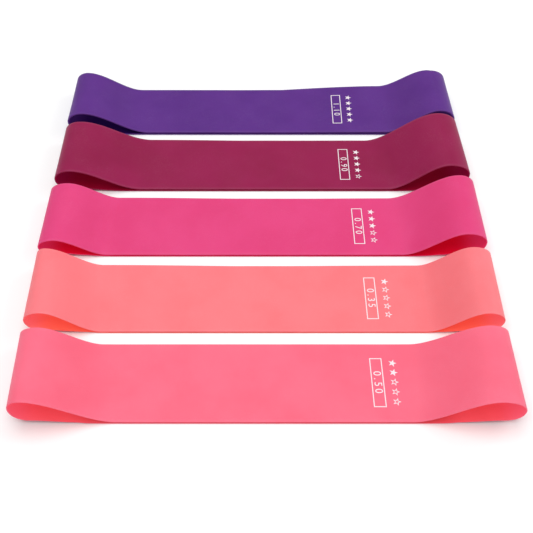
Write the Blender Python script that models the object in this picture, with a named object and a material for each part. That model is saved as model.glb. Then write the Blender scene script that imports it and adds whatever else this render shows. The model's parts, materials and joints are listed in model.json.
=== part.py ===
"""Set of five latex mini loop bands, laid flat in a row, from the strongest at the back to the front.

Each band is one closed loop of latex sheet.  It lies as two layers, one on the other, and each end
bulges into a soft teardrop that also lifts its lower layer a little off the table.  A loop is built
as four solids that follow one centreline: the lower run on the table, the upper run above it, and
the left and right end loops that join them.  The right end loop is the one that is pulled, so its
origin is on the pull line of its own band.

Metres, +Z up, +X to the right, +Y to the back.  The origin is on the table, under the middle of
the set.
"""

import math
from collections import namedtuple

import bmesh
import bpy
from mathutils import Vector

# Driving dimensions, the same for every band
LOOP_LENGTH = 0.594          # once round a loop, along the middle of the sheet
BAND_WIDTH = 0.050           # across the sheet
BAND_SPACING = 0.009         # free table between two bands
LAYER_GAP = 0.0010           # air between the lower and the upper run
SPLIT_GAP = 0.0003           # between two solids of one loop

# Shape of an end, measured back from its tip along X
CREST_SETBACK = 0.011        # highest line of the end
HEEL_SETBACK = 0.009         # where the sheet has turned under and points inward
HEEL_LIFT = 0.0030           # how high the turned sheet floats above the table there
HEEL_REACH = 0.010           # how slowly that lift dies away
FOOT_LENGTH = 0.048          # where the sheet comes down flat on the table
TIP_HEIGHT_SHARE = 0.62      # height of the tip, as a share of the crest's height

# Steps along each stretch of the centreline
RISE_STEPS = 14
BIGHT_STEPS = 9
FOOT_STEPS = 8
SHARP_ANGLE = math.radians(40.0)     # faces that meet at more than this show an edge

# One row for each band, from the back of the set to the front.  thickness is the sheet's own; extra
# is how much longer than LOOP_LENGTH the loop is; drift is how far right its middle lies; each crest
# is the height of the top of that end; each rise is how far from the tip the upper run begins.
Band = namedtuple(
    "Band", "name thickness extra drift left_crest right_crest left_rise right_rise color")
BANDS = (
    Band("x_heavy", 0.00110, -0.0015, 0.0001, 0.0200, 0.0220, 0.058, 0.066, (0.122, 0.042, 0.258)),
    Band("heavy", 0.00090, 0.0015, 0.0004, 0.0200, 0.0260, 0.058, 0.062, (0.314, 0.019, 0.087)),
    Band("medium", 0.00070, 0.0020, 0.0011, 0.0170, 0.0240, 0.050, 0.056, (0.791, 0.076, 0.238)),
    Band("x_light", 0.00035, 0.0010, 0.0027, 0.0200, 0.0215, 0.047, 0.052, (0.982, 0.227, 0.258)),
    Band("light", 0.00050, -0.0040, 0.0040, 0.0225, 0.0240, 0.054, 0.056, (0.973, 0.178, 0.270)),
)
LATEX_ROUGHNESS = 0.45
LATEX_METALLIC = 0.0

LAST_ROW = len(BANDS) - 1
ROW_PITCH = BAND_WIDTH + BAND_SPACING


def clear_scene():
    for old in list(bpy.data.objects):
        bpy.data.objects.remove(old, do_unlink=True)


def latex_material(band):
    """The sheet's own colour, with the satin surface of powdered latex."""
    material = bpy.data.materials.new(band.name + "_latex")
    material.use_nodes = True
    shader = material.node_tree.nodes["Principled BSDF"]
    shader.inputs["Base Color"].default_value = (*band.color, 1.0)
    shader.inputs["Roughness"].default_value = LATEX_ROUGHNESS
    shader.inputs["Metallic"].default_value = LATEX_METALLIC
    return material


def quarter_ellipse(centre, start, end, steps):
    """Points from centre + start to centre + end, where start and end stand square to each other."""
    points = []
    for step in range(steps + 1):
        angle = 0.5 * math.pi * step / steps
        points.append(centre + start * math.cos(angle) + end * math.sin(angle))
    return points


def upper_height(band):
    """Middle of the upper layer's sheet, where it lies flat."""
    return band.thickness + LAYER_GAP + 0.5 * band.thickness


def heel_lift(back):
    """How far the lower layer floats above the table, at a distance back from the tip."""
    reach = back / HEEL_REACH
    fade = 1.0 - (back / FOOT_LENGTH) ** 4
    return HEEL_LIFT * fade * reach * math.exp(1.0 - reach)


def end_centreline(band, crest, rise):
    """Middle of the sheet round one end, from the upper run to the lower run.

    X is the distance past the tip, so it is negative, and Z is the height above the table.
    """
    half = 0.5 * band.thickness
    top = crest - half
    tip = TIP_HEIGHT_SHARE * crest
    flat = upper_height(band)
    points = []
    for step in range(RISE_STEPS):
        share = step / RISE_STEPS
        along = -rise + share * (rise - CREST_SETBACK)
        climb = share * share * (3.0 - 2.0 * share)
        points.append(Vector((along, 0.0, flat + climb * (top - flat))))
    points += quarter_ellipse(
        Vector((-CREST_SETBACK, 0.0, tip)),
        Vector((0.0, 0.0, top - tip)), Vector((CREST_SETBACK, 0.0, 0.0)), BIGHT_STEPS)
    under = quarter_ellipse(
        Vector((-HEEL_SETBACK, 0.0, tip)),
        Vector((HEEL_SETBACK, 0.0, 0.0)), Vector((0.0, 0.0, half - tip)), BIGHT_STEPS)[1:]
    for step in range(1, FOOT_STEPS + 1):
        back = HEEL_SETBACK + (FOOT_LENGTH - HEEL_SETBACK) * step / FOOT_STEPS
        under.append(Vector((-back, 0.0, half)))
    for point in under:
        point.z += heel_lift(-point.x)
    return points + under


def path_length(points):
    return sum((after - before).length for before, after in zip(points, points[1:]))


def tip_distance(band):
    """From tip to tip along the middle of the sheet, so that the whole loop has its length."""
    round_ends = path_length(end_centreline(band, band.left_crest, band.left_rise))
    round_ends += path_length(end_centreline(band, band.right_crest, band.right_rise))
    taken_up = band.left_rise + band.right_rise + 2.0 * FOOT_LENGTH
    return 0.5 * (LOOP_LENGTH + band.extra - round_ends + taken_up)


def tip_places(band):
    """Where the middle of the sheet turns at the left and the right tip, before centring."""
    reach = 0.5 * tip_distance(band)
    return band.drift - reach, band.drift + reach


def set_middle():
    """Halfway between the outermost left and right ends, sheet thickness included."""
    lefts = []
    rights = []
    for band in BANDS:
        left_tip, right_tip = tip_places(band)
        lefts.append(left_tip - 0.5 * band.thickness)
        rights.append(right_tip + 0.5 * band.thickness)
    return 0.5 * (min(lefts) + max(rights))


def offset_outline(points, thickness):
    """Closed outline of a sheet of this thickness about the points, in the XZ plane."""
    one_side = []
    other_side = []
    for index, point in enumerate(points):
        before = points[max(index - 1, 0)]
        after = points[min(index + 1, len(points) - 1)]
        along = (after - before).normalized()
        across = Vector((-along.z, 0.0, along.x)) * (0.5 * thickness)
        one_side.append(point + across)
        other_side.append(point - across)
    return one_side + other_side[::-1]


def sheet_object(name, points, band, near_edge, origin, material):
    """A solid sheet along the points, as wide as the band, with its origin at the given place."""
    outline = offset_outline(points, band.thickness)
    shape = bmesh.new()
    ring = [shape.verts.new(corner + Vector((0.0, near_edge, 0.0)) - origin) for corner in outline]
    front = shape.faces.new(ring)
    back = bmesh.ops.extrude_face_region(shape, geom=[front])
    moved = [item for item in back["geom"] if isinstance(item, bmesh.types.BMVert)]
    bmesh.ops.translate(shape, verts=moved, vec=(0.0, BAND_WIDTH, 0.0))
    bmesh.ops.recalc_face_normals(shape, faces=shape.faces)
    mesh = bpy.data.meshes.new(name)
    shape.to_mesh(mesh)
    shape.free()
    mesh.materials.append(material)
    mesh.shade_smooth()
    mesh.set_sharp_from_angle(angle=SHARP_ANGLE)
    thing = bpy.data.objects.new(name, mesh)
    thing.location = origin
    bpy.context.scene.collection.objects.link(thing)
    return thing


def trimmed(points, first, last):
    """The path with a length cut off at its first and last point, both on straight stretches."""
    start = points[0] + (points[1] - points[0]).normalized() * first
    end = points[-1] + (points[-2] - points[-1]).normalized() * last
    return [start] + points[1:-1] + [end]


def build_band(band, row, shift):
    """The four solids of one loop, moved left by the shift that centres the set."""
    material = latex_material(band)
    middle_y = (0.5 * LAST_ROW - row) * ROW_PITCH
    near_edge = middle_y - 0.5 * BAND_WIDTH
    left_tip, right_tip = (place - shift for place in tip_places(band))

    right = [
        point + Vector((right_tip, 0.0, 0.0))
        for point in end_centreline(band, band.right_crest, band.right_rise)]
    left = [
        Vector((left_tip - point.x, 0.0, point.z))
        for point in end_centreline(band, band.left_crest, band.left_rise)]
    upper = [left[0], right[0]]
    lower = [left[-1], right[-1]]

    rest_origin = Vector((0.5 * (left_tip + right_tip), middle_y, 0.0))
    pull_origin = Vector((right_tip, middle_y, TIP_HEIGHT_SHARE * band.right_crest))
    half_gap = 0.5 * SPLIT_GAP
    pieces = (
        ("lower_run", trimmed(lower, half_gap, half_gap), rest_origin),
        ("upper_run", trimmed(upper, half_gap, half_gap), rest_origin),
        ("left_end_loop", trimmed(left, half_gap, half_gap), rest_origin),
        ("right_end_loop", trimmed(right, half_gap, half_gap), pull_origin),
    )
    for piece_name, points, origin in pieces:
        sheet_object(band.name + "_" + piece_name, points, band, near_edge, origin, material)


clear_scene()
centring_shift = set_middle()
for row, band in enumerate(BANDS):
    build_band(band, row, centring_shift)
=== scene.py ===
"""Looks of a set of five latex loop bands, laid flat in a row.

Each loop is one seamless sheet of latex.  Its near and far rims are drawn as closed curves, and a
node tree spans the sheet between them, with slow waves in its upper layer.  The white print on each
band, a column of five stars and a framed number, is laid onto the latex by node trees of its own.
"""

import json
import math

import bpy
import numpy as np
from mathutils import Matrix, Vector

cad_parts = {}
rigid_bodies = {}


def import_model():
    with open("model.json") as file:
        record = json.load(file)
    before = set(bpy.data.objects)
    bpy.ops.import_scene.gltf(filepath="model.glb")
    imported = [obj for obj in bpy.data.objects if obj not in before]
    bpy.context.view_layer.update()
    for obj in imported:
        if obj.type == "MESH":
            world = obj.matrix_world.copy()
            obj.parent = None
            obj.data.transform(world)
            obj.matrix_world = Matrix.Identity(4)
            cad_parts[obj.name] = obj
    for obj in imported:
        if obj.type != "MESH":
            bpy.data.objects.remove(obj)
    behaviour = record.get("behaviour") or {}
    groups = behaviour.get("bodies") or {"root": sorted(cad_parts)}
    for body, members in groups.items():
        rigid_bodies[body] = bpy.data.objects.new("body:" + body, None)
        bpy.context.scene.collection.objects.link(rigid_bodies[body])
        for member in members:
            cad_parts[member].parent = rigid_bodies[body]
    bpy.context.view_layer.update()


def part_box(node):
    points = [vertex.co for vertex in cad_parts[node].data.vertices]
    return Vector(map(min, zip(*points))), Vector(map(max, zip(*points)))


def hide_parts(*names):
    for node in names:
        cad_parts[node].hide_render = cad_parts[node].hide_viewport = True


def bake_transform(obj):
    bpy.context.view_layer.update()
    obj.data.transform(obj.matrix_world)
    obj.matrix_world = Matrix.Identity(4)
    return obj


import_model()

bl_info = {
    "name": "Latex Loop Bands",
    "version": (1, 0, 0),
    "blender": (4, 5, 0),
    "location": "View3D > Sidebar > Loop Bands",
    "description": "Lays out a set of latex loop bands with their print and a plain stage",
    "category": "Object",
}

BAND_NAMES = ("x_heavy", "heavy", "medium", "x_light", "light")
STAR_COUNT = 5


# ---------------------------------------------------------------------------------------------
# Settings
# ---------------------------------------------------------------------------------------------

class SheetShape(bpy.types.PropertyGroup):
    """How the latex sheet of every loop is shaped."""

    path_steps: bpy.props.IntProperty(
        name="Steps Along", description="Faces once round a loop", default=720, min=60)
    across_steps: bpy.props.IntProperty(
        name="Steps Across", description="Faces across a band", default=26, min=4)
    tail_reach: bpy.props.FloatProperty(
        name="Tail Reach", description="How far past the crest the upper layer floats highest",
        default=0.045, unit="LENGTH")
    tail_end: bpy.props.FloatProperty(
        name="Tail End", description="From a tip to where the upper layer surely lies flat",
        default=0.125, unit="LENGTH")
    heel_setback: bpy.props.FloatProperty(
        name="Heel Setback", description="From a tip back to where the lower layer turns level",
        default=0.009, unit="LENGTH")
    heel_lift: bpy.props.FloatProperty(
        name="Heel Lift", description="How far an end lifts the lower layer off the table",
        default=0.0030, unit="LENGTH")
    heel_reach: bpy.props.FloatProperty(
        name="Heel Reach", description="From a tip back to where the lower layer floats highest",
        default=0.010, unit="LENGTH")
    settle: bpy.props.FloatProperty(
        name="Settle", description="How far the flat upper layer has sunk towards the lower one",
        default=0.0006, unit="LENGTH", precision=5)
    wave_height: bpy.props.FloatProperty(
        name="Wave Height", description="Height of the slow waves in the upper layer",
        default=0.00025, unit="LENGTH", precision=5)
    wave_size: bpy.props.FloatProperty(
        name="Wave Size", description="Size of the slow waves", default=0.055, unit="LENGTH")
    slip: bpy.props.FloatProperty(
        name="Layer Slip", description="How far the upper layer lies behind the lower one",
        default=0.0003, unit="LENGTH")
    rim_round: bpy.props.FloatProperty(
        name="Rim Rounding", description="Rounding of the cut rims, as a share of the thickness",
        default=0.28, subtype="FACTOR", min=0.0, max=0.45)


def band_finish(label, length, stars, number, label_place, outside, inside, crests, tips, rises,
                setbacks, tails, reaches):
    """A settings class for one band, its colours and lie as defaults, the inside colour painted
    shade and light.

    The lists of four are for the left near, left far, right near and right far rim of its ends.
    """
    latex_color = dict(subtype="COLOR", size=3, min=0.0, max=1.0)
    fields = {
        "length": bpy.props.FloatProperty(
            name="Loop Length", description="Once round the loop", default=length,
            unit="LENGTH"),
        "outside": bpy.props.FloatVectorProperty(
            name="Outside", description="Latex colour outside", default=outside, **latex_color),
        # The inside colour is painted shade and light: a darker, redder copy of the latex for the
        # shade inside the loop and the light that passes through the sheet.
        "inside": bpy.props.FloatVectorProperty(
            name="Inside", description="Latex colour inside the loop", default=inside,
            **latex_color),
        "crests": bpy.props.FloatVectorProperty(
            name="Crests", description="Height of each rim's crest, times the end's own",
            default=crests, size=4),
        "tips": bpy.props.FloatVectorProperty(
            name="Tip Heights", description="Height of each rim's tip, as a share of its crest",
            default=tips, size=4),
        "rises": bpy.props.FloatVectorProperty(
            name="Rises", description="Length of each rim's rise, times the end's own",
            default=rises, size=4),
        "setbacks": bpy.props.FloatVectorProperty(
            name="Setbacks", description="From each rim's tip back to its crest",
            default=setbacks, size=4, unit="LENGTH"),
        "tails": bpy.props.FloatVectorProperty(
            name="Tails", description="Lift of each rim of the upper layer beside its end",
            default=tails, size=4, unit="LENGTH"),
        "reaches": bpy.props.FloatVectorProperty(
            name="Reaches", description="How far each rim's tip is pulled out past its rest",
            default=reaches, size=4, unit="LENGTH"),
        "stars": bpy.props.IntProperty(
            name="Full Stars", description="Stars that are printed solid", default=stars,
            min=0, max=STAR_COUNT),
        "number": bpy.props.StringProperty(
            name="Number", description="Sheet thickness in millimetres, printed in the frame",
            default=number),
        "label_place": bpy.props.FloatProperty(
            name="Label Place", description="How far right of the band's middle its frame is",
            default=label_place, unit="LENGTH"),
    }
    return type(label + "Finish", (bpy.types.PropertyGroup,), {"__annotations__": fields})


# Each inside colour below is painted shade and light, not a latex colour of its own.
XHeavyFinish = band_finish(
    "XHeavy", length=0.5925, stars=5, number="1.10", label_place=0.0577,
    outside=(0.100, 0.022, 0.221), inside=(0.014, 0.002, 0.050),
    crests=(1.00, 0.93, 1.04, 0.95), tips=(0.56, 0.56, 0.58, 0.58),
    rises=(1.00, 0.84, 0.73, 0.76), setbacks=(0.011, 0.009, 0.011, 0.011),
    tails=(0.0, 0.0, 0.0003, 0.0038), reaches=(0.0005, 0.0002, 0.0008, -0.0006))
HeavyFinish = band_finish(
    "Heavy", length=0.5955, stars=4, number="0.90", label_place=0.0593,
    outside=(0.271, 0.006, 0.066), inside=(0.190, 0.001, 0.016),
    crests=(0.96, 1.00, 0.94, 1.07), tips=(0.54, 0.54, 0.62, 0.62),
    rises=(1.00, 1.05, 0.87, 1.03), setbacks=(0.011, 0.011, 0.014, 0.014),
    tails=(0.0, 0.0008, 0.0, 0.0), reaches=(-0.0003, 0.0010, 0.0009, -0.0007))
MediumFinish = band_finish(
    "Medium", length=0.5960, stars=3, number="0.70", label_place=0.0642,
    outside=(0.697, 0.052, 0.197), inside=(0.510, 0.002, 0.022),
    crests=(0.93, 0.98, 0.91, 1.00), tips=(0.52, 0.52, 0.57, 0.57),
    rises=(0.86, 0.92, 0.92, 1.00), setbacks=(0.011, 0.012, 0.013, 0.011),
    tails=(0.0, 0.0009, 0.0, 0.0003), reaches=(-0.0003, 0.0007, 0.0001, 0.0004))
XLightFinish = band_finish(
    "XLight", length=0.5950, stars=1, number="0.35", label_place=0.0659,
    outside=(0.860, 0.191, 0.215), inside=(0.740, 0.124, 0.086),
    crests=(1.01, 0.93, 0.93, 0.92), tips=(0.57, 0.57, 0.56, 0.56),
    rises=(0.90, 0.84, 0.83, 0.86), setbacks=(0.011, 0.006, 0.011, 0.012),
    tails=(0.0, 0.0012, 0.0, 0.0006), reaches=(-0.0010, 0.0002, -0.0002, 0.0001))
LightFinish = band_finish(
    "Light", length=0.5900, stars=2, number="0.50", label_place=0.0632,
    outside=(0.860, 0.144, 0.226), inside=(0.710, 0.086, 0.110),
    crests=(1.06, 0.84, 0.99, 0.875), tips=(0.59, 0.59, 0.52, 0.52),
    rises=(1.04, 0.85, 1.04, 1.00), setbacks=(0.008, 0.011, 0.015, 0.012),
    tails=(0.0, 0.0, 0.0, 0.0), reaches=(-0.0015, 0.0005, 0.0002, -0.0009))


class LatexSurface(bpy.types.PropertyGroup):
    """What the surface of the latex is like, the same on every band."""

    roughness: bpy.props.FloatProperty(
        name="Roughness", description="Middle roughness of the satin latex", default=0.46,
        subtype="FACTOR", min=0.0, max=1.0)
    gloss: bpy.props.FloatProperty(
        name="Gloss", description="Specular level of the latex", default=0.20,
        subtype="FACTOR", min=0.0, max=1.0)
    inside_gloss: bpy.props.FloatProperty(
        name="Inside Gloss", description="Specular level inside a loop", default=0.05,
        subtype="FACTOR", min=0.0, max=1.0)
    scatter: bpy.props.FloatProperty(
        name="Scatter", description="Share of the light that scatters inside the sheet",
        default=0.12, subtype="FACTOR", min=0.0, max=1.0)
    # Light Passed is a painted glow: the inside emits light for the light that comes through the
    # sheet
    passed: bpy.props.FloatProperty(
        name="Light Passed", description="Light that comes through the thin sheet to its inside",
        default=0.42, min=0.0)
    # Clear Thickness and Tip Dimming set the painted light on the inside at the tips
    clear_thickness: bpy.props.FloatProperty(
        name="Clear Thickness", description="Thickness at which a tip lets all its light in",
        default=0.0004, unit="LENGTH", precision=5)
    tip_dim: bpy.props.FloatProperty(
        name="Tip Dimming", description="Share of the outside colour that a clear tip shows",
        default=0.85, subtype="FACTOR", min=0.0, max=1.0)
    powder: bpy.props.FloatProperty(
        name="Powder", description="Strength of the pale powder left on the latex", default=0.05,
        subtype="FACTOR", min=0.0, max=1.0)
    rim_pale: bpy.props.FloatProperty(
        name="Pale Rims", description="How much paler the latex is along its cut rims",
        default=0.04, subtype="FACTOR", min=0.0, max=1.0)
    rim_fade: bpy.props.FloatProperty(
        name="Rim Fade", description="How far in from a rim it is paler", default=0.0008,
        unit="LENGTH")
    # Rim Glow is a painted glow: the cut rims emit a little of the latex colour
    rim_glow: bpy.props.FloatProperty(
        name="Rim Glow", description="Light from inside the sheet that leaves at its cut rims",
        default=0.15, min=0.0)
    # Tip Fade is how far the painted tip light reaches into the loop
    tip_fade: bpy.props.FloatProperty(
        name="Tip Fade", description="How far from a tip the inside is paler", default=0.009,
        unit="LENGTH")
    # Open End and Closed Glow shape the painted glow, dimmer as painted shade where the layers
    # touch
    open_end: bpy.props.FloatProperty(
        name="Open End", description="How far from a tip the loop is open and lit inside",
        default=0.030, unit="LENGTH")
    closed_glow: bpy.props.FloatProperty(
        name="Closed Glow", description="Light that passes where the layers touch, as a share",
        default=0.45, subtype="FACTOR", min=0.0, max=1.0)


class InkMarks(bpy.types.PropertyGroup):
    """Sizes of the white print."""

    color: bpy.props.FloatVectorProperty(
        name="Ink", description="Colour of the print", default=(0.82, 0.73, 0.77),
        subtype="COLOR", size=3, min=0.0, max=1.0)
    thickness: bpy.props.FloatProperty(
        name="Ink Thickness", description="How far the print stands up from the latex",
        default=0.00004, unit="LENGTH", precision=5)
    frame_width: bpy.props.FloatProperty(
        name="Frame Width", description="Size of the frame along the band", default=0.0071,
        unit="LENGTH")
    frame_length: bpy.props.FloatProperty(
        name="Frame Length", description="Size of the frame across the band", default=0.0314,
        unit="LENGTH")
    line_width: bpy.props.FloatProperty(
        name="Line Width", description="Width of the frame's line", default=0.00055,
        unit="LENGTH")
    star_size: bpy.props.FloatProperty(
        name="Star Size", description="Radius of a star's points", default=0.0025,
        unit="LENGTH")
    star_pitch: bpy.props.FloatProperty(
        name="Star Pitch", description="From one star to the next", default=0.0062,
        unit="LENGTH")
    star_offset: bpy.props.FloatProperty(
        name="Star Offset", description="From the frame's middle to the stars", default=0.0095,
        unit="LENGTH")
    number_height: bpy.props.FloatProperty(
        name="Number Height", description="Height of the printed digits", default=0.0062,
        unit="LENGTH")


class StageSettings(bpy.types.PropertyGroup):
    """Camera and lights."""

    camera_height: bpy.props.FloatProperty(
        name="Camera Height", description="Above the floor", default=0.363, unit="LENGTH")
    camera_reach: bpy.props.FloatProperty(
        name="Camera Reach", description="From the camera's foot to the front edge of the set",
        default=0.1815, unit="LENGTH")
    camera_side: bpy.props.FloatProperty(
        name="Camera Side", description="How far right of the front band's middle it stands",
        default=0.0004, unit="LENGTH")
    camera_tilt: bpy.props.FloatProperty(
        name="Camera Tilt", description="Angle of the view below the horizon",
        default=math.radians(51.25), subtype="ANGLE")
    lens: bpy.props.FloatProperty(
        name="Lens", description="Focal length on a 36 mm sensor", default=49.2, min=10.0)
    floor_size: bpy.props.FloatProperty(
        name="Floor Size", description="Side of the square floor", default=12.0, unit="LENGTH")
    sky: bpy.props.FloatProperty(
        name="Sky", description="Strength of the even white surroundings", default=0.50, min=0.0)
    overhead: bpy.props.FloatProperty(
        name="Overhead Light", description="Power of the overhead softbox", default=15.5, min=0.0)
    side: bpy.props.FloatProperty(
        name="Side Light", description="Power of the softbox on the right", default=5.0, min=0.0)


class LoopSetSettings(bpy.types.PropertyGroup):
    """Everything that the panel shows."""

    sheet: bpy.props.PointerProperty(type=SheetShape)
    surface: bpy.props.PointerProperty(type=LatexSurface)
    ink: bpy.props.PointerProperty(type=InkMarks)
    stage: bpy.props.PointerProperty(type=StageSettings)
    x_heavy: bpy.props.PointerProperty(type=XHeavyFinish)
    heavy: bpy.props.PointerProperty(type=HeavyFinish)
    medium: bpy.props.PointerProperty(type=MediumFinish)
    x_light: bpy.props.PointerProperty(type=XLightFinish)
    light: bpy.props.PointerProperty(type=LightFinish)


# ---------------------------------------------------------------------------------------------
# Node tree helpers
# ---------------------------------------------------------------------------------------------

def new_tree(name, inputs):
    """A geometry node tree with a geometry output and the named inputs, given as (name, kind)."""
    tree = bpy.data.node_groups.new(name, "GeometryNodeTree")
    for label, kind in inputs:
        tree.interface.new_socket(label, in_out="INPUT", socket_type="NodeSocket" + kind)
    tree.interface.new_socket("Geometry", in_out="OUTPUT", socket_type="NodeSocketGeometry")
    return tree


def add(tree, kind, links=None, **settings):
    """A new node.  links gives its inputs, by name or number: a socket to link, or a value."""
    node = tree.nodes.new(kind)
    for label, value in settings.items():
        setattr(node, label, value)
    for key, value in (links or {}).items():
        if isinstance(value, bpy.types.NodeSocket):
            tree.links.new(value, node.inputs[key])
        else:
            node.inputs[key].default_value = value
    return node


def math_of(tree, operation, *values):
    """The result of a math node on numbers or sockets."""
    links = dict(enumerate(values))
    return add(tree, "ShaderNodeMath", links, operation=operation).outputs[0]


def smooth_range(tree, value, low, high):
    """0 below low, 1 above high, and smooth between them."""
    links = {0: value, 1: low, 2: high}
    return add(
        tree, "ShaderNodeMapRange", links, interpolation_type="SMOOTHSTEP").outputs[0]


def run_tree(thing, tree, values):
    """Puts the tree on the object as a modifier, and sets its inputs by their identifiers."""
    modifier = thing.modifiers.new(tree.name, "NODES")
    modifier.node_group = tree
    for item in tree.interface.items_tree:
        if item.in_out == "INPUT" and item.name in values:
            modifier[item.identifier] = values[item.name]


def frozen(thing, name):
    """A plain object with the mesh that thing's modifiers make.  The thing itself is removed."""
    bpy.context.view_layer.update()
    evaluated = thing.evaluated_get(bpy.context.evaluated_depsgraph_get())
    mesh = bpy.data.meshes.new_from_object(evaluated)
    bpy.data.objects.remove(thing, do_unlink=True)
    mesh.name = name
    result = bpy.data.objects.new(name, mesh)
    bpy.context.scene.collection.objects.link(result)
    return result


def empty_mesh_object(name):
    """An object that a node tree then fills."""
    thing = bpy.data.objects.new(name, bpy.data.meshes.new(name))
    bpy.context.scene.collection.objects.link(thing)
    return thing


# ---------------------------------------------------------------------------------------------
# Latex loops
# ---------------------------------------------------------------------------------------------

END_STEPS = 24          # steps along each quarter turn of an end, and along its foot
RISE_STEPS = 72         # steps along the upper layer, from where it surely lies flat to the crest
WELD_DISTANCE = 1e-6    # points of the sheet that are nearer than this are one
RIM_SEGMENTS = 2        # faces that round a corner of a cut rim
RIM_ANGLE = math.radians(50.0)      # only corners sharper than this are rounded


class LoopMeasure:
    """The places of one loop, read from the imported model."""

    def __init__(self, name):
        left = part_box(name + "_left_end_loop")
        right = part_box(name + "_right_end_loop")
        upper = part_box(name + "_upper_run")
        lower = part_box(name + "_lower_run")
        self.thickness = upper[1].z - upper[0].z
        half = 0.5 * self.thickness
        self.left_tip = left[0].x + half
        self.right_tip = right[1].x - half
        self.left_crest = left[1].z - half
        self.right_crest = right[1].z - half
        self.left_rise = left[1].x - self.left_tip
        self.right_rise = self.right_tip - right[0].x
        self.foot = lower[0].x - self.left_tip
        self.upper_height = 0.5 * (upper[0].z + upper[1].z)
        self.lower_height = 0.5 * (lower[0].z + lower[1].z)
        self.near_edge = lower[0].y
        self.width = lower[1].y - lower[0].y
        self.lower_left = lower[0].x
        self.lower_right = lower[1].x
        self.middle = 0.5 * (self.left_tip + self.right_tip)


def floating(back, start, reach, end):
    """Share of its greatest lift that a loose layer has, at a distance back from the tip.

    The lift begins at start, is greatest about a reach further back, and is gone at the end.
    """
    far = (back - start) / reach
    return (1.0 - (back / end) ** 4) * far * math.exp(1.0 - far)


def end_line(measure, shape, crest, tip_share, rise, setback, tail):
    """Middle of the sheet round one end, as (distance past the tip, height), upper run first."""
    tip = tip_share * (crest + 0.5 * measure.thickness)
    flat = measure.upper_height - shape.settle
    points = []
    for step in range(RISE_STEPS):
        back = shape.tail_end + (setback - shape.tail_end) * step / RISE_STEPS
        share = min(max((rise - back) / (rise - setback), 0.0), 1.0)
        climb = share * share * (3.0 - 2.0 * share)
        loose = tail * floating(back, setback, shape.tail_reach, shape.tail_end)
        points.append((-back, flat + climb * (crest - flat) + loose))
    for step in range(END_STEPS):
        angle = 0.5 * math.pi * step / END_STEPS
        points.append((
            setback * (math.sin(angle) - 1.0), tip + (crest - tip) * math.cos(angle)))

    def heel(back):
        return shape.heel_lift * floating(back, 0.0, shape.heel_reach, measure.foot)

    for step in range(END_STEPS):
        angle = 0.5 * math.pi * step / END_STEPS
        back = shape.heel_setback * (1.0 - math.cos(angle))
        drop = (tip - measure.lower_height) * math.sin(angle)
        points.append((-back, tip - drop + heel(back)))
    for step in range(END_STEPS + 1):
        back = shape.heel_setback + (measure.foot - shape.heel_setback) * step / END_STEPS
        points.append((-back, measure.lower_height + heel(back)))
    return points


def rim_path(name, measure, shape, finish, rim):
    """Closed curve along one rim, near 0 or far 1.  It starts halfway along the lower run.

    The tips move until the rim has the flat sheet's own length, and then by their reaches.
    """
    left = end_line(
        measure, shape, measure.left_crest * finish.crests[rim], finish.tips[rim],
        measure.left_rise * finish.rises[rim], finish.setbacks[rim], finish.tails[rim])
    right = end_line(
        measure, shape, measure.right_crest * finish.crests[2 + rim], finish.tips[2 + rim],
        measure.right_rise * finish.rises[2 + rim], finish.setbacks[2 + rim],
        finish.tails[2 + rim])

    def closed(left_tip, right_tip):
        places = [(measure.middle, measure.lower_height)]
        places += [(right_tip + x, z) for x, z in reversed(right)]
        places += [(left_tip - x, z) for x, z in left]
        return places

    places = closed(measure.left_tip, measure.right_tip)
    length = sum(math.dist(place, after) for place, after in zip(places, places[1:] + places[:1]))
    slack = 0.25 * (finish.length - length)     # each tip that moves lengthens both layers
    places = closed(
        measure.left_tip - slack - finish.reaches[rim],
        measure.right_tip + slack + finish.reaches[2 + rim])
    curve = bpy.data.curves.new(name, "CURVE")
    curve.dimensions = "3D"
    spline = curve.splines.new("POLY")
    spline.points.add(len(places) - 1)
    for point, (x, z) in zip(spline.points, places):
        point.co = (x, 0.0, z, 1.0)
    spline.use_cyclic_u = True
    thing = bpy.data.objects.new(name, curve)
    bpy.context.scene.collection.objects.link(thing)
    return thing


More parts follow.
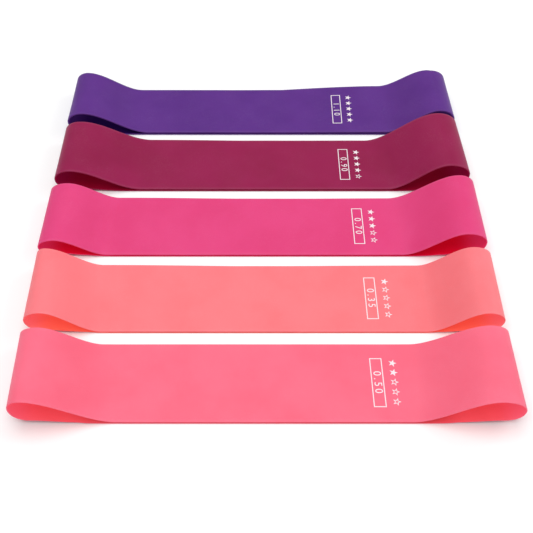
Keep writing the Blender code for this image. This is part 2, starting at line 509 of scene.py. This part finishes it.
def sheet_tree():
    """Node tree that spans a closed sheet between two rims, with a slip and slow waves on top."""
    tree = new_tree("latex_sheet", (
        ("Near Rim", "Object"), ("Far Rim", "Object"), ("Steps Along", "Int"),
        ("Steps Across", "Int"), ("Near Edge", "Float"), ("Width", "Float"), ("Slip", "Float"),
        ("Slip Height", "Float"), ("Wave Height", "Float"), ("Wave Size", "Float"),
        ("Seed", "Float"), ("Material", "Material")))
    given = tree.nodes.new("NodeGroupInput").outputs
    along = math_of(tree, "ADD", given["Steps Along"], 1)
    across = math_of(tree, "ADD", given["Steps Across"], 1)
    grid = add(tree, "GeometryNodeMeshGrid", {
        "Size X": 1.0, "Size Y": 1.0, "Vertices X": along, "Vertices Y": across})
    here = add(tree, "ShaderNodeSeparateXYZ", {
        0: tree.nodes.new("GeometryNodeInputPosition").outputs[0]})
    around = math_of(tree, "ADD", here.outputs["X"], 0.5)
    over = math_of(tree, "ADD", here.outputs["Y"], 0.5)

    def rim_place(label):
        path = add(tree, "GeometryNodeObjectInfo", {"Object": given[label]})
        return add(tree, "GeometryNodeSampleCurve", {
            "Curves": path.outputs["Geometry"], "Factor": around},
            mode="FACTOR").outputs["Position"]

    # 4 and 5 are the vector inputs of a mix node, and 1 is its vector output
    between = add(tree, "ShaderNodeMix", {
        "Factor": over, 4: rim_place("Near Rim"), 5: rim_place("Far Rim")},
        data_type="VECTOR")
    spot = add(tree, "ShaderNodeSeparateXYZ", {0: between.outputs[1]})
    slip_top = math_of(tree, "MULTIPLY", given["Slip Height"], 2.0)
    lifted = smooth_range(tree, spot.outputs["Z"], given["Slip Height"], slip_top)
    depth = math_of(
        tree, "ADD", math_of(tree, "MULTIPLY_ADD", over, given["Width"], given["Near Edge"]),
        math_of(tree, "MULTIPLY", lifted, given["Slip"]))
    place = add(tree, "ShaderNodeCombineXYZ", {
        "X": spot.outputs["X"], "Y": depth, "Z": spot.outputs["Z"]})
    laid = add(tree, "GeometryNodeSetPosition", {
        "Geometry": grid.outputs["Mesh"], "Position": place.outputs[0]})
    joined = add(tree, "GeometryNodeMergeByDistance", {
        "Geometry": laid.outputs[0], "Distance": WELD_DISTANCE})
    outward = add(tree, "GeometryNodeFlipFaces", {"Mesh": joined.outputs[0]})

    position = tree.nodes.new("GeometryNodeInputPosition").outputs[0]
    waves = add(tree, "ShaderNodeTexNoise", {
        "Vector": position, "W": given["Seed"], "Detail": 1.0,
        "Scale": math_of(tree, "DIVIDE", 1.0, given["Wave Size"])}, noise_dimensions="4D")
    swing = math_of(tree, "MULTIPLY_ADD", waves.outputs[0], 2.0, -1.0)
    current = add(tree, "ShaderNodeSeparateXYZ", {0: position})
    free = smooth_range(tree, current.outputs["Z"], given["Slip Height"], slip_top)
    amount = math_of(
        tree, "MULTIPLY", math_of(tree, "MULTIPLY", swing, given["Wave Height"]), free)
    offset = add(tree, "ShaderNodeVectorMath", {
        0: tree.nodes.new("GeometryNodeInputNormal").outputs[0], "Scale": amount},
        operation="SCALE")
    waved = add(tree, "GeometryNodeSetPosition", {
        "Geometry": outward.outputs[0], "Offset": offset.outputs[0]})
    smooth = add(tree, "GeometryNodeSetShadeSmooth", {"Geometry": waved.outputs[0]})
    real = add(tree, "GeometryNodeRealizeInstances", {"Geometry": smooth.outputs[0]})
    finish = add(tree, "GeometryNodeSetMaterial", {
        "Geometry": real.outputs[0], "Material": given["Material"]})
    add(tree, "NodeGroupOutput", {0: finish.outputs[0]})
    return tree


def mark_places(mesh, measure, surface):
    """Stores, from 0 to 1, how near each vertex is to a cut rim, to a tip and to an open end."""
    places = np.empty(len(mesh.vertices) * 3)
    mesh.vertices.foreach_get("co", places)
    x = places[0::3]
    y = places[1::3]
    from_rim = np.minimum(y - measure.near_edge, measure.near_edge + measure.width - y)
    from_tip = np.minimum(x - measure.left_tip, measure.right_tip - x)
    past_open = from_tip - surface.open_end
    # the tip and open nearness place the inside's painted light and painted glow
    for label, distance, fade in (
            ("rim", from_rim, surface.rim_fade), ("tip", from_tip, surface.tip_fade),
            ("open", past_open, 0.5 * surface.open_end)):
        nearness = np.exp(-(np.maximum(distance, 0.0) / fade) ** 2)
        attribute = mesh.attributes.new(label, "FLOAT", "POINT")
        attribute.data.foreach_set("value", nearness.astype(np.float32))


def thicken(sheet, thickness, rim_round):
    """Modifiers that give the spanned sheet its thickness and round its cut rims."""
    wall = sheet.modifiers.new("wall", "SOLIDIFY")
    wall.thickness = thickness
    wall.offset = 0.0
    wall.material_offset = 1
    wall.material_offset_rim = 2
    rounding = sheet.modifiers.new("rim rounding", "BEVEL")
    rounding.width = rim_round * thickness
    rounding.segments = RIM_SEGMENTS
    rounding.limit_method = "ANGLE"
    rounding.angle_limit = RIM_ANGLE


def latex_loop(name, row, tree, measure, settings):
    """One closed loop, with its outside, inside and rim in materials of their own."""
    shape = settings.sheet
    finish = getattr(settings, name)
    near = rim_path(name + "_near_rim", measure, shape, finish, 0)
    far = rim_path(name + "_far_rim", measure, shape, finish, 1)
    outside, inside, rim = latex_materials(name, measure, settings.surface, finish)
    sheet = empty_mesh_object(name + "_sheet")
    # the tree's mesh has an empty first slot, so the wall's materials count from the second
    for material in (None, outside, inside, rim):
        sheet.data.materials.append(material)
    run_tree(sheet, tree, {
        "Near Rim": near, "Far Rim": far, "Steps Along": shape.path_steps,
        "Steps Across": shape.across_steps, "Near Edge": measure.near_edge,
        "Width": measure.width, "Slip": shape.slip, "Slip Height": measure.thickness,
        "Wave Height": shape.wave_height, "Wave Size": shape.wave_size,
        "Seed": float(row), "Material": outside})
    thicken(sheet, measure.thickness, shape.rim_round)
    loop = frozen(sheet, name + "_latex_loop")
    for path in (near, far):
        bpy.data.objects.remove(path, do_unlink=True)
    for material in (inside, rim):
        loop.data.materials.append(material)
    loop.data.materials.pop(index=0)
    mark_places(loop.data, measure, settings.surface)
    return loop


class LOOPSET_OT_lay_loops(bpy.types.Operator):
    """Lay the five latex loops."""

    bl_idname = "loopset.lay_loops"
    bl_label = "Lay Latex Loops"

    def execute(self, context):
        settings = context.scene.loop_set
        tree = sheet_tree()
        for row, name in enumerate(BAND_NAMES):
            measure = LoopMeasure(name)
            finish = getattr(settings, name)
            loop = latex_loop(name, row, tree, measure, settings)
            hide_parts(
                name + "_left_end_loop", name + "_right_end_loop",
                name + "_upper_run", name + "_lower_run")
            ride_band(loop)
        return {"FINISHED"}


def ride_band(piece):
    """Bakes the piece's transform into its mesh."""
    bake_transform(piece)


# ---------------------------------------------------------------------------------------------
# Materials
# ---------------------------------------------------------------------------------------------

# Texture scales, in repeats to a metre
MOTTLE_SCALE = 26.0
CLOUD_SCALE = 60.0
SPECK_SCALE = 1400.0
GRAIN_SCALE = (40.0, 1800.0, 1800.0)        # drawn out along the band
WEAR_SCALE = 420.0
PORE_SCALE = 3200.0

# Colours that are made from a given one
DEEP_POWER = 1.06           # the mottled latex is this much deeper in colour
DEEP_SHARE = 0.98           # and this much darker
CHALK_SHARE = 0.45          # share of white in powdered latex
THIN_INK_SHARE = 0.80       # brightness of thin ink

# How light scatters inside the latex
SCATTER_COLOR = (1.0, 0.25, 0.30)
SCATTER_DEPTH = 0.0008

# What makes a surface rougher than it is on its own
HAZE_ROUGHNESS = 0.12
GRAIN_ROUGHNESS = 0.06
WEAR_ROUGHNESS = 0.15
INK_ROUGHNESS = 0.48        # of the ink on its own


def mixed(tree, factor, first, second):
    """The colour output of a mix of two colours, each a socket or a value."""
    # 6 and 7 are the colour inputs of a mix node, and 2 is its colour output
    return add(
        tree, "ShaderNodeMix", {0: factor, 6: first, 7: second}, data_type="RGBA").outputs[2]


def latex_material(
        name, color, surface, pale, powder, rough_gain, gloss, painted_tip_light=None, passed=0.0):
    """Satin latex: faint mottling, a haze of powder, paler rims, and a fine drawn grain.

    The light that passes through the sheet is painted on as a weak glow.  With a tip colour, the
    latex takes that colour towards the tips, as painted light, and its painted glow is dimmer, a
    painted shade, where the two layers lie together.
    """
    material = bpy.data.materials.new(name)
    material.use_nodes = True
    tree = material.node_tree
    shader = tree.nodes["Principled BSDF"]
    place = tree.nodes.new("ShaderNodeTexCoord").outputs["Object"]
    full = (*color, 1.0)
    deep = (*(channel ** DEEP_POWER * DEEP_SHARE for channel in color), 1.0)
    chalk = (*((1.0 - CHALK_SHARE) * channel + CHALK_SHARE for channel in color), 1.0)

    mottle = add(tree, "ShaderNodeTexNoise", {
        "Vector": place, "Scale": MOTTLE_SCALE, "Detail": 4.0, "Roughness": 0.55})
    tone = mixed(tree, smooth_range(tree, mottle.outputs[0], 0.35, 0.70), full, deep)
    if painted_tip_light:
        # painted light: the inside's colour turns paler towards the tips, where light comes in
        # through the sheet
        tip = add(tree, "ShaderNodeAttribute", attribute_name="tip").outputs["Fac"]
        tone = mixed(tree, tip, tone, (*painted_tip_light, 1.0))
        # painted glow: the emission is dimmer where the loop is closed, a painted shade
        opened = add(tree, "ShaderNodeAttribute", attribute_name="open").outputs["Fac"]
        closed = (*(surface.closed_glow * channel for channel in color), 1.0)
        tree.links.new(mixed(tree, opened, closed, tone), shader.inputs["Emission Color"])
    else:
        # the painted glow takes the full latex colour
        shader.inputs["Emission Color"].default_value = full

    speck = add(tree, "ShaderNodeTexNoise", {
        "Vector": place, "Scale": SPECK_SCALE, "Detail": 3.0, "Roughness": 0.6})
    cloud = add(tree, "ShaderNodeTexNoise", {
        "Vector": place, "Scale": CLOUD_SCALE, "Detail": 2.0})
    haze = math_of(
        tree, "MULTIPLY", smooth_range(tree, speck.outputs[0], 0.45, 0.75),
        smooth_range(tree, cloud.outputs[0], 0.30, 0.75))
    powdered = mixed(tree, math_of(tree, "MULTIPLY", haze, powder), tone, chalk)

    rim = add(tree, "ShaderNodeAttribute", attribute_name="rim").outputs["Fac"]
    edged = mixed(tree, math_of(tree, "MULTIPLY", rim, pale), powdered, chalk)
    tree.links.new(edged, shader.inputs["Base Color"])

    grain_place = add(tree, "ShaderNodeMapping", {
        "Vector": place, "Scale": GRAIN_SCALE}).outputs[0]
    grain = add(tree, "ShaderNodeTexNoise", {
        "Vector": grain_place, "Scale": 1.0, "Detail": 2.0})
    rough = math_of(
        tree, "MULTIPLY_ADD", haze, HAZE_ROUGHNESS,
        math_of(
            tree, "MULTIPLY_ADD", grain.outputs[0], GRAIN_ROUGHNESS,
            surface.roughness * rough_gain))
    tree.links.new(rough, shader.inputs["Roughness"])

    drawn = add(tree, "ShaderNodeBump", {
        "Height": grain.outputs[0], "Strength": 0.10, "Distance": 0.00002})
    fine = add(tree, "ShaderNodeBump", {
        "Height": speck.outputs[0], "Strength": 0.18, "Distance": 0.00003,
        "Normal": drawn.outputs[0]})
    tree.links.new(fine.outputs[0], shader.inputs["Normal"])

    shader.inputs["Specular IOR Level"].default_value = gloss
    shader.inputs["Subsurface Weight"].default_value = surface.scatter
    shader.inputs["Subsurface Radius"].default_value = SCATTER_COLOR
    shader.inputs["Subsurface Scale"].default_value = SCATTER_DEPTH
    # the emission strength is the painted glow of light passing through the sheet
    shader.inputs["Emission Strength"].default_value = passed
    return material


def latex_materials(name, measure, surface, finish):
    """Outside, inside and cut rim of one band.  The inside is painted shade with painted light at
    its tips, where a thinner sheet lets more light in, and the inside and rim carry a painted glow.
    """
    outside = latex_material(
        name + "_latex_outside", finish.outside, surface, pale=surface.rim_pale,
        powder=surface.powder, rough_gain=1.0, gloss=surface.gloss)
    clear = min(surface.clear_thickness / measure.thickness, 1.0)
    # painted light: the inside's colour at the tips, nearer the dimmed outside colour for a thinner
    # sheet
    painted_tip_light = tuple(
        inner + clear * (surface.tip_dim * outer - inner)
        for inner, outer in zip(finish.inside, finish.outside))
    inside = latex_material(
        name + "_latex_inside", finish.inside, surface, pale=0.0, powder=0.0, rough_gain=1.1,
        gloss=surface.inside_gloss, painted_tip_light=painted_tip_light, passed=surface.passed)
    # the rim's emission is a painted glow
    rim = latex_material(
        name + "_latex_rim", finish.outside, surface, pale=0.5 * surface.rim_pale,
        powder=surface.powder, rough_gain=1.2, gloss=surface.gloss, passed=surface.rim_glow)
    return outside, inside, rim


def ink_material(ink):
    """Thin screen print: slightly uneven white that breaks up in tiny pores.  Made only once."""
    if "print_ink" in bpy.data.materials:
        return bpy.data.materials["print_ink"]
    material = bpy.data.materials.new("print_ink")
    material.use_nodes = True
    tree = material.node_tree
    shader = tree.nodes["Principled BSDF"]
    place = tree.nodes.new("ShaderNodeTexCoord").outputs["Object"]
    pores = add(tree, "ShaderNodeTexNoise", {
        "Vector": place, "Scale": PORE_SCALE, "Detail": 2.0})
    worn = add(tree, "ShaderNodeTexNoise", {"Vector": place, "Scale": WEAR_SCALE, "Detail": 3.0})
    full = (*ink.color, 1.0)
    thin = (*(THIN_INK_SHARE * channel for channel in ink.color), 1.0)
    wear = math_of(
        tree, "MULTIPLY", smooth_range(tree, pores.outputs[0], 0.5, 0.8),
        smooth_range(tree, worn.outputs[0], 0.4, 0.7))
    tree.links.new(mixed(tree, wear, full, thin), shader.inputs["Base Color"])
    rough = math_of(tree, "MULTIPLY_ADD", worn.outputs[0], WEAR_ROUGHNESS, INK_ROUGHNESS)
    tree.links.new(rough, shader.inputs["Roughness"])
    bump = add(tree, "ShaderNodeBump", {
        "Height": pores.outputs[0], "Strength": 0.2, "Distance": 0.00002})
    tree.links.new(bump.outputs[0], shader.inputs["Normal"])
    shader.inputs["Specular IOR Level"].default_value = 0.3
    return material


# ---------------------------------------------------------------------------------------------
# Print
# ---------------------------------------------------------------------------------------------

INK_INPUTS = (
    ("Latex", "Object"), ("Middle", "Vector"), ("Ink Thickness", "Float"),
    ("Material", "Material"))
INK_SINK = 0.00001          # the print starts this far inside the latex
INK_WELD = 2e-6             # points of the print that are nearer than this are one
DROP_HEIGHT = 0.1           # well above the latex, from where the print is dropped onto it
STAR_WAIST = 0.40           # a star's inner radius, as a share of its points' radius
STAR_HOLE = 0.56            # an outlined star's opening, as a share of the star
FRAME_CUTS = 15             # points along each side of the frame, so that it follows the latex
DIGIT_SPACING = 1.40        # times the font's own spacing


def laid_ink(tree, given, flat):
    """Drops a flat mesh onto the latex, gives it the ink's thickness and its material."""
    latex = add(tree, "GeometryNodeObjectInfo", {"Object": given["Latex"]})
    above = add(tree, "ShaderNodeVectorMath", {
        0: tree.nodes.new("GeometryNodeInputPosition").outputs[0], 1: (0.0, 0.0, DROP_HEIGHT)})
    ray = add(tree, "GeometryNodeRaycast", {
        "Target Geometry": latex.outputs["Geometry"], "Source Position": above.outputs[0],
        "Ray Direction": (0.0, 0.0, -1.0), "Ray Length": 2.0 * DROP_HEIGHT})
    down = add(tree, "GeometryNodeSetPosition", {
        "Geometry": flat, "Position": ray.outputs["Hit Position"],
        "Offset": (0.0, 0.0, -INK_SINK)})
    lift = add(tree, "ShaderNodeCombineXYZ", {
        "Z": math_of(tree, "ADD", given["Ink Thickness"], INK_SINK)})
    top = add(tree, "GeometryNodeExtrudeMesh", {
        "Mesh": down.outputs[0], "Offset": lift.outputs[0], "Offset Scale": 1.0,
        "Individual": False})
    under = add(tree, "GeometryNodeFlipFaces", {"Mesh": down.outputs[0]})
    both = tree.nodes.new("GeometryNodeJoinGeometry")
    for piece in (top.outputs["Mesh"], under.outputs[0]):
        tree.links.new(piece, both.inputs[0])
    closed = add(tree, "GeometryNodeMergeByDistance", {
        "Geometry": both.outputs[0], "Distance": INK_WELD})
    real = add(tree, "GeometryNodeRealizeInstances", {"Geometry": closed.outputs[0]})
    inked = add(tree, "GeometryNodeSetMaterial", {
        "Geometry": real.outputs[0], "Material": given["Material"]})
    add(tree, "NodeGroupOutput", {0: inked.outputs[0]})


def filled(tree, curves):
    """The flat mesh inside closed curves, with the inner ones left open."""
    return add(tree, "GeometryNodeFillCurve", {"Curve": curves}).outputs[0]


def star_tree():
    """Node tree for a column of five stars across the band, the first ones printed solid."""
    tree = new_tree("star_column", INK_INPUTS + (
        ("Solid Stars", "Int"), ("Star Size", "Float"), ("Pitch", "Float")))
    given = tree.nodes.new("NodeGroupInput").outputs
    first = math_of(tree, "MULTIPLY", given["Pitch"], 0.5 * (STAR_COUNT - 1))
    step = math_of(tree, "MULTIPLY", given["Pitch"], -1.0)
    start = add(tree, "ShaderNodeVectorMath", {
        0: given["Middle"], 1: add(tree, "ShaderNodeCombineXYZ", {"Y": first}).outputs[0]})
    line = add(tree, "GeometryNodeMeshLine", {
        "Count": STAR_COUNT, "Start Location": start.outputs[0],
        "Offset": add(tree, "ShaderNodeCombineXYZ", {"Y": step}).outputs[0]})

    def star(scale):
        outer = math_of(tree, "MULTIPLY", given["Star Size"], scale)
        inner = math_of(tree, "MULTIPLY", outer, STAR_WAIST)
        return add(tree, "GeometryNodeCurveStar", {
            "Points": 5, "Inner Radius": inner, "Outer Radius": outer}).outputs["Curve"]

    ring = tree.nodes.new("GeometryNodeJoinGeometry")
    for curves in (star(1.0), star(STAR_HOLE)):
        tree.links.new(curves, ring.inputs[0])
    index = tree.nodes.new("GeometryNodeInputIndex").outputs[0]
    solid = math_of(tree, "LESS_THAN", index, given["Solid Stars"])
    outlined = math_of(tree, "SUBTRACT", 1.0, solid)
    solid_star = filled(tree, star(1.0))
    outlined_star = filled(tree, ring.outputs[0])
    both = tree.nodes.new("GeometryNodeJoinGeometry")
    for chosen, shape in ((solid, solid_star), (outlined, outlined_star)):
        copies = add(tree, "GeometryNodeInstanceOnPoints", {
            "Points": line.outputs[0], "Selection": chosen, "Instance": shape})
        tree.links.new(copies.outputs[0], both.inputs[0])
    real = add(tree, "GeometryNodeRealizeInstances", {"Geometry": both.outputs[0]})
    laid_ink(tree, given, real.outputs[0])
    return tree


def label_tree():
    """Node tree for a thin upright frame with a number in it, read towards the front."""
    tree = new_tree("framed_number", INK_INPUTS + (
        ("Frame Width", "Float"), ("Frame Length", "Float"), ("Line Width", "Float"),
        ("Number", "String"), ("Number Height", "Float")))
    given = tree.nodes.new("NodeGroupInput").outputs
    corners = tree.nodes.new("GeometryNodeJoinGeometry")
    both_sides = math_of(tree, "MULTIPLY", given["Line Width"], 2.0)
    for inner in (0.0, 1.0):
        cut = math_of(tree, "MULTIPLY", both_sides, inner)
        outline = add(tree, "GeometryNodeCurvePrimitiveQuadrilateral", {
            "Width": math_of(tree, "SUBTRACT", given["Frame Width"], cut),
            "Height": math_of(tree, "SUBTRACT", given["Frame Length"], cut)})
        steps = add(tree, "GeometryNodeSubdivideCurve", {
            "Curve": outline.outputs[0], "Cuts": FRAME_CUTS})
        tree.links.new(steps.outputs[0], corners.inputs[0])
    border = filled(tree, corners.outputs[0])
    digits = add(tree, "GeometryNodeStringToCurves", {
        "String": given["Number"], "Size": given["Number Height"],
        "Character Spacing": DIGIT_SPACING}, align_x="CENTER", align_y="MIDDLE")
    outlines = add(tree, "GeometryNodeRealizeInstances", {
        "Geometry": digits.outputs["Curve Instances"]})
    turned = add(tree, "GeometryNodeTransform", {
        "Geometry": filled(tree, outlines.outputs[0]),
        "Rotation": (0.0, 0.0, math.radians(-90.0))})
    both = tree.nodes.new("GeometryNodeJoinGeometry")
    for piece in (border, turned.outputs[0]):
        tree.links.new(piece, both.inputs[0])
    placed = add(tree, "GeometryNodeTransform", {
        "Geometry": both.outputs[0], "Translation": given["Middle"]})
    laid_ink(tree, given, placed.outputs[0])
    return tree


def print_on(name, piece_name, tree, settings, sideways, values):
    """One printed piece on one band, sideways from the middle of the band's frame."""
    measure = LoopMeasure(name)
    ink = settings.ink
    latex = bpy.data.objects[name + "_latex_loop"]
    place = Vector((
        measure.middle + getattr(settings, name).label_place + sideways,
        measure.near_edge + 0.5 * measure.width, 0.0))
    blank = empty_mesh_object(piece_name + "_blank")
    run_tree(blank, tree, {
        "Latex": latex, "Middle": place, "Ink Thickness": ink.thickness,
        "Material": ink_material(ink), **values})
    piece = frozen(blank, piece_name)
    ride_band(piece)


class LOOPSET_OT_print_stars(bpy.types.Operator):
    """Print the column of stars on each band."""

    bl_idname = "loopset.print_stars"
    bl_label = "Print Stars"

    def execute(self, context):
        settings = context.scene.loop_set
        ink = settings.ink
        tree = star_tree()
        for name in BAND_NAMES:
            print_on(name, name + "_star_print", tree, settings, ink.star_offset, {
                "Solid Stars": getattr(settings, name).stars,
                "Star Size": ink.star_size, "Pitch": ink.star_pitch})
        return {"FINISHED"}


class LOOPSET_OT_print_labels(bpy.types.Operator):
    """Print the framed number on each band."""

    bl_idname = "loopset.print_labels"
    bl_label = "Print Labels"

    def execute(self, context):
        settings = context.scene.loop_set
        ink = settings.ink
        tree = label_tree()
        for name in BAND_NAMES:
            print_on(name, name + "_label_print", tree, settings, 0.0, {
                "Frame Width": ink.frame_width, "Frame Length": ink.frame_length,
                "Line Width": ink.line_width, "Number": getattr(settings, name).number,
                "Number Height": ink.number_height})
        return {"FINISHED"}


# ---------------------------------------------------------------------------------------------
# Stage
# ---------------------------------------------------------------------------------------------

FLOOR_DROP = 0.0001         # the floor lies this far under the set, so that no faces coincide
PAPER_COLOR = (0.93, 0.93, 0.93, 1.0)
SKY_COLOR = (1.0, 1.0, 1.0, 1.0)
OVERHEAD_PLACE = (-0.15, 0.0, 1.4)
OVERHEAD_SIZE = 1.4
SIDE_PLACE = (1.20, 0.40, 0.8)
SIDE_SIZE = 0.8
SENSOR_WIDTH = 36.0         # in millimetres, as the lens is


def add_softbox(name, place, size, power):
    """A square area light that looks at the middle of the set."""
    lamp = bpy.data.lights.new(name, "AREA")
    lamp.shape = "SQUARE"
    lamp.size = size
    lamp.energy = power
    thing = bpy.data.objects.new(name, lamp)
    thing.location = place
    thing.rotation_euler = (-Vector(place)).to_track_quat("-Z", "Y").to_euler()
    bpy.context.scene.collection.objects.link(thing)


def add_floor(scene, size):
    """A square of white paper under the set."""
    half = 0.5 * size
    corners = [(-half, -half), (half, -half), (half, half), (-half, half)]
    mesh = bpy.data.meshes.new("floor")
    mesh.from_pydata([(x, y, -FLOOR_DROP) for x, y in corners], [], [(0, 1, 2, 3)])
    floor = bpy.data.objects.new("floor", mesh)
    scene.collection.objects.link(floor)
    paper = bpy.data.materials.new("white_paper")
    paper.use_nodes = True
    shader = paper.node_tree.nodes["Principled BSDF"]
    shader.inputs["Base Color"].default_value = PAPER_COLOR
    shader.inputs["Roughness"].default_value = 0.9
    shader.inputs["Specular IOR Level"].default_value = 0.1
    mesh.materials.append(paper)


def add_sky(scene, strength):
    """Even white light from all round."""
    world = bpy.data.worlds.new("studio")
    world.use_nodes = True
    surroundings = world.node_tree.nodes["Background"]
    surroundings.inputs["Color"].default_value = SKY_COLOR
    surroundings.inputs["Strength"].default_value = strength
    scene.world = world


def add_camera(scene, stage):
    """The scene's camera, in front of the front band and looking down at the set."""
    camera = bpy.data.cameras.new("camera")
    camera.sensor_width = SENSOR_WIDTH
    camera.lens = stage.lens
    camera.clip_start = 0.01
    camera.clip_end = 50.0
    front = LoopMeasure(BAND_NAMES[-1])
    eye = bpy.data.objects.new("camera", camera)
    eye.location = (
        front.middle + stage.camera_side, front.near_edge - stage.camera_reach,
        stage.camera_height)
    eye.rotation_euler = (math.radians(90.0) - stage.camera_tilt, 0.0, 0.0)
    scene.collection.objects.link(eye)
    scene.camera = eye


class LOOPSET_OT_set_stage(bpy.types.Operator):
    """Make the pale floor, the soft light and the camera."""

    bl_idname = "loopset.set_stage"
    bl_label = "Set Stage"

    def execute(self, context):
        scene = context.scene
        stage = scene.loop_set.stage
        add_floor(scene, stage.floor_size)
        add_sky(scene, stage.sky)
        add_softbox("overhead_softbox", OVERHEAD_PLACE, OVERHEAD_SIZE, stage.overhead)
        add_softbox("side_softbox", SIDE_PLACE, SIDE_SIZE, stage.side)
        add_camera(scene, stage)
        scene.view_settings.view_transform = "Standard"
        return {"FINISHED"}


class LOOPSET_PT_panel(bpy.types.Panel):
    """The loop band tools in the 3D view's sidebar."""

    bl_idname = "LOOPSET_PT_panel"
    bl_label = "Loop Bands"
    bl_space_type = "VIEW_3D"
    bl_region_type = "UI"
    bl_category = "Loop Bands"

    def draw(self, context):
        settings = context.scene.loop_set
        for title in ("sheet", "surface", "ink", "stage", *BAND_NAMES):
            box = self.layout.box()
            box.label(text=title)
            group = getattr(settings, title)
            for field in group.bl_rna.properties:
                if field.identifier not in ("rna_type", "name"):
                    box.prop(group, field.identifier)
        for operator in OPERATORS:
            self.layout.operator(operator.bl_idname)


OPERATORS = (
    LOOPSET_OT_set_stage, LOOPSET_OT_lay_loops, LOOPSET_OT_print_stars,
    LOOPSET_OT_print_labels)
CLASSES = (
    SheetShape, XHeavyFinish, HeavyFinish, MediumFinish, XLightFinish, LightFinish,
    LatexSurface, InkMarks, StageSettings, LoopSetSettings, *OPERATORS, LOOPSET_PT_panel)


def register():
    for item in CLASSES:
        bpy.utils.register_class(item)
    bpy.types.Scene.loop_set = bpy.props.PointerProperty(type=LoopSetSettings)


def unregister():
    del bpy.types.Scene.loop_set
    for item in reversed(CLASSES):
        bpy.utils.unregister_class(item)


def main():
    """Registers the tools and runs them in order."""
    register()
    bpy.ops.loopset.set_stage()
    bpy.ops.loopset.lay_loops()
    bpy.ops.loopset.print_stars()
    bpy.ops.loopset.print_labels()


if __name__ == "__main__":
    main()
